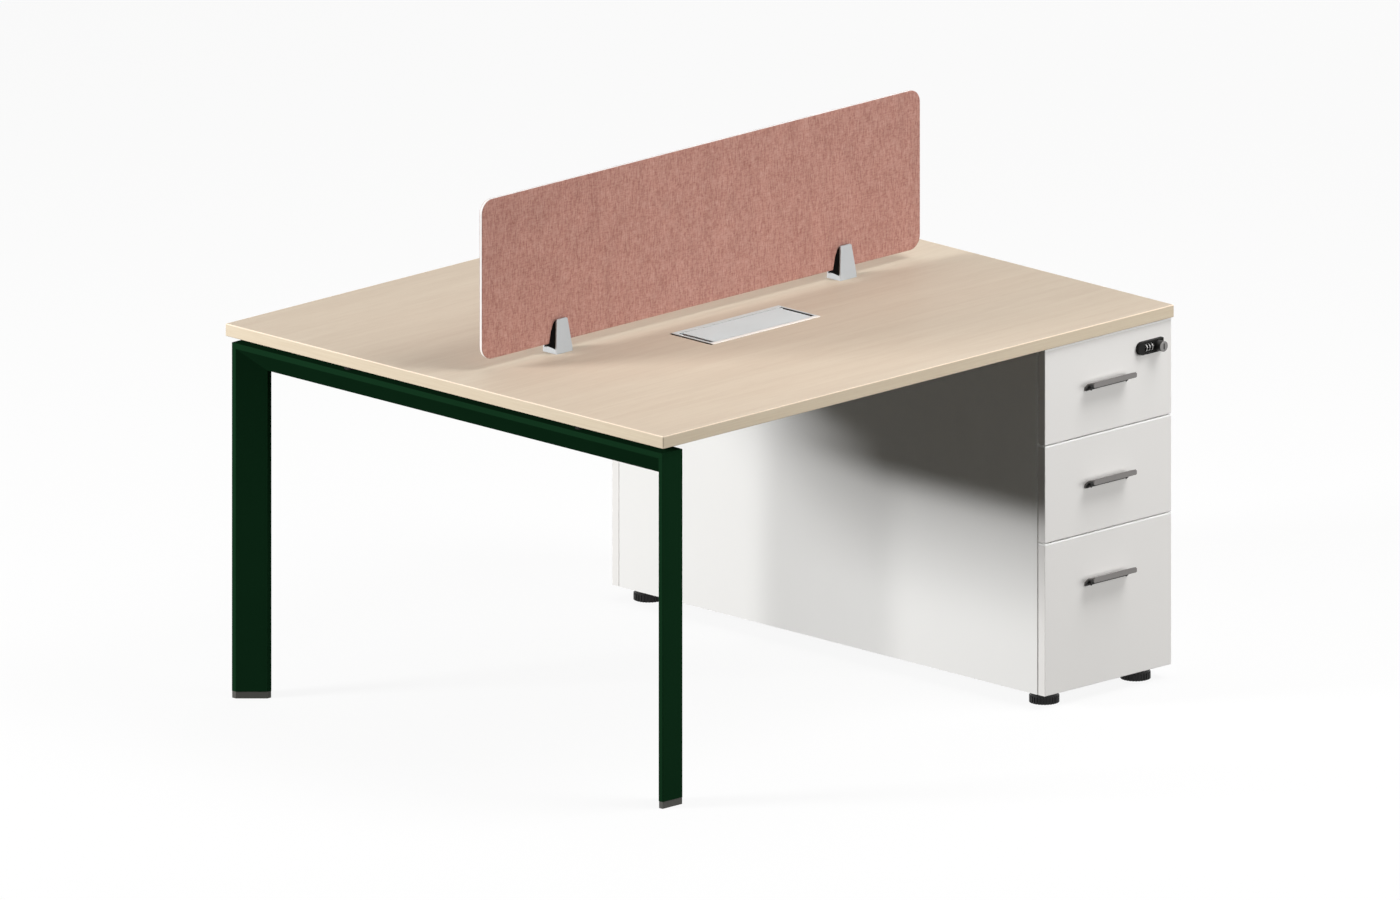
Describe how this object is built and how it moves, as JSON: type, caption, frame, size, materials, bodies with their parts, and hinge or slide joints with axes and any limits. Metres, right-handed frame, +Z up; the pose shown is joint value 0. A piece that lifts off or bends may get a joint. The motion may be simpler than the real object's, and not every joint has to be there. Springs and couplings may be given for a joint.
{
  "type": "cubicle workstation",
  "caption": "Bench workstation for two facing users: worktop on a cut-corner tube frame and a drawer pedestal, with a clipped fabric screen and flip-lid cable boxes.",
  "frame": {"origin": "centre of the bounding box in plan, on the floor", "axes": "+X along the worktop from the open frame to the drawer pedestal, +Y from the front user to the back user, +Z up"},
  "size_m": [1.4, 1.24, 1.09],
  "materials": {
    "worktop_board": "satin laminate with a fine grain",
    "edge_band": "satin edge band",
    "frame_paint": "dark green powder coat",
    "cap_plastic": "matte",
    "spacer_black": "matte",
    "rail_paint": "grey powder coat",
    "zinc_steel": "zinc plated",
    "white_board": "white laminated board",
    "drawer_board": "white laminated board",
    "box_paint": "light grey powder coat",
    "handle_paint": "grey powder coat",
    "lock_black": "matte",
    "lock_wheel": "matte with pale digits",
    "screen_board": "raw board, hidden",
    "screen_fabric": "woven, heathered",
    "screen_trim": "satin",
    "clip_paint": "light grey powder coat",
    "black_plastic": "matte",
    "white_plastic": "satin",
    "flap_paint": "light grey powder coat"
  },
  "bodies": {
    "carcass": {"worktop": "worktop_board", "worktop_edge_band": "edge_band", "frame_leg_front": "frame_paint", "frame_leg_back": "frame_paint", "frame_beam": "frame_paint", "leg_end_caps": "cap_plastic", "worktop_spacers": "spacer_black", "support_rails": "rail_paint", "rail_bolts": "zinc_steel", "pedestal_side_inner": "white_board", "pedestal_side_outer": "white_board", "pedestal_base": "white_board", "pedestal_divider": "white_board", "pedestal_top_boards": "white_board", "foot_inserts": "zinc_steel", "cabinet_runners": "zinc_steel", "screen_core": "screen_board", "screen_fabric": "screen_fabric", "screen_edge_trim": "screen_trim", "screen_clips": "clip_paint", "screen_clip_jaws": "black_plastic", "cable_box_bezels": "white_plastic", "cable_trays": "rail_paint"},
    "drawer_front_low": {"drawer_front_front_low": "drawer_board", "drawer_box_front_low": "box_paint", "handle_front_low": "handle_paint"},
    "drawer_front_middle": {"drawer_front_front_middle": "drawer_board", "drawer_box_front_middle": "box_paint", "handle_front_middle": "handle_paint"},
    "drawer_front_top": {"drawer_front_front_top": "drawer_board", "drawer_box_front_top": "box_paint", "handle_front_top": "handle_paint", "lock_body_front": "lock_black"},
    "knob_front": {"lock_knob_front": "lock_black"},
    "wheel_front_left": {"code_wheel_front_left": "lock_wheel"},
    "wheel_front_middle": {"code_wheel_front_middle": "lock_wheel"},
    "wheel_front_right": {"code_wheel_front_right": "lock_wheel"},
    "drawer_back_low": {"drawer_front_back_low": "drawer_board", "drawer_box_back_low": "box_paint", "handle_back_low": "handle_paint"},
    "drawer_back_middle": {"drawer_front_back_middle": "drawer_board", "drawer_box_back_middle": "box_paint", "handle_back_middle": "handle_paint"},
    "drawer_back_top": {"drawer_front_back_top": "drawer_board", "drawer_box_back_top": "box_paint", "handle_back_top": "handle_paint", "lock_body_back": "lock_black"},
    "knob_back": {"lock_knob_back": "lock_black"},
    "wheel_back_left": {"code_wheel_back_left": "lock_wheel"},
    "wheel_back_middle": {"code_wheel_back_middle": "lock_wheel"},
    "wheel_back_right": {"code_wheel_back_right": "lock_wheel"},
    "foot_front_left": {"levelling_foot_front_left": "black_plastic"},
    "foot_front_right": {"levelling_foot_front_right": "black_plastic"},
    "foot_back_left": {"levelling_foot_back_left": "black_plastic"},
    "foot_back_right": {"levelling_foot_back_right": "black_plastic"},
    "flap_front": {"cable_flap_front": "flap_paint"},
    "flap_back": {"cable_flap_back": "flap_paint"}
  },
  "joints": [
    {"name": "drawer_front_low_slide", "type": "slide", "parent": "carcass", "child": "drawer_front_low", "axis": [0, -1, 0], "range_m": [0, 0.39]},
    {"name": "drawer_front_middle_slide", "type": "slide", "parent": "carcass", "child": "drawer_front_middle", "axis": [0, -1, 0], "range_m": [0, 0.39]},
    {"name": "drawer_front_top_slide", "type": "slide", "parent": "carcass", "child": "drawer_front_top", "axis": [0, -1, 0], "range_m": [0, 0.39]},
    {"name": "knob_front_turn", "type": "hinge", "parent": "drawer_front_top", "child": "knob_front", "pos_m": [0.6555, -0.593, 0.6775], "axis": [0, 1, 0], "range_deg": [0, 90]},
    {"name": "wheel_front_left_turn", "type": "hinge", "parent": "drawer_front_top", "child": "wheel_front_left", "pos_m": [0.6228, -0.5955, 0.6775], "axis": [1, 0, 0], "continuous": true},
    {"name": "wheel_front_middle_turn", "type": "hinge", "parent": "drawer_front_top", "child": "wheel_front_middle", "pos_m": [0.6305, -0.5955, 0.6775], "axis": [1, 0, 0], "continuous": true},
    {"name": "wheel_front_right_turn", "type": "hinge", "parent": "drawer_front_top", "child": "wheel_front_right", "pos_m": [0.6382, -0.5955, 0.6775], "axis": [1, 0, 0], "continuous": true},
    {"name": "drawer_back_low_slide", "type": "slide", "parent": "carcass", "child": "drawer_back_low", "axis": [0, 1, 0], "range_m": [0, 0.39]},
    {"name": "drawer_back_middle_slide", "type": "slide", "parent": "carcass", "child": "drawer_back_middle", "axis": [0, 1, 0], "range_m": [0, 0.39]},
    {"name": "drawer_back_top_slide", "type": "slide", "parent": "carcass", "child": "drawer_back_top", "axis": [0, 1, 0], "range_m": [0, 0.39]},
    {"name": "knob_back_turn", "type": "hinge", "parent": "drawer_back_top", "child": "knob_back", "pos_m": [0.3965, 0.593, 0.6775], "axis": [0, -1, 0], "range_deg": [0, 90]},
    {"name": "wheel_back_left_turn", "type": "hinge", "parent": "drawer_back_top", "child": "wheel_back_left", "pos_m": [0.4292, 0.5955, 0.6775], "axis": [-1, 0, 0], "continuous": true},
    {"name": "wheel_back_middle_turn", "type": "hinge", "parent": "drawer_back_top", "child": "wheel_back_middle", "pos_m": [0.4215, 0.5955, 0.6775], "axis": [-1, 0, 0], "continuous": true},
    {"name": "wheel_back_right_turn", "type": "hinge", "parent": "drawer_back_top", "child": "wheel_back_right", "pos_m": [0.4138, 0.5955, 0.6775], "axis": [-1, 0, 0], "continuous": true},
    {"name": "foot_front_left_turn", "type": "hinge", "parent": "carcass", "child": "foot_front_left", "pos_m": [0.402, -0.542, 0], "axis": [0, 0, 1], "continuous": true},
    {"name": "foot_front_right_turn", "type": "hinge", "parent": "carcass", "child": "foot_front_right", "pos_m": [0.652, -0.542, 0], "axis": [0, 0, 1], "continuous": true},
    {"name": "foot_back_left_turn", "type": "hinge", "parent": "carcass", "child": "foot_back_left", "pos_m": [0.402, 0.542, 0], "axis": [0, 0, 1], "continuous": true},
    {"name": "foot_back_right_turn", "type": "hinge", "parent": "carcass", "child": "foot_back_right", "pos_m": [0.652, 0.542, 0], "axis": [0, 0, 1], "continuous": true},
    {"name": "flap_front_hinge", "type": "hinge", "parent": "carcass", "child": "flap_front", "pos_m": [0, -0.0795, 0.7485], "axis": [-1, 0, 0], "range_deg": [0, 100]},
    {"name": "flap_back_hinge", "type": "hinge", "parent": "carcass", "child": "flap_back", "pos_m": [0, 0.0795, 0.7485], "axis": [1, 0, 0], "range_deg": [0, 100]}
  ]
}
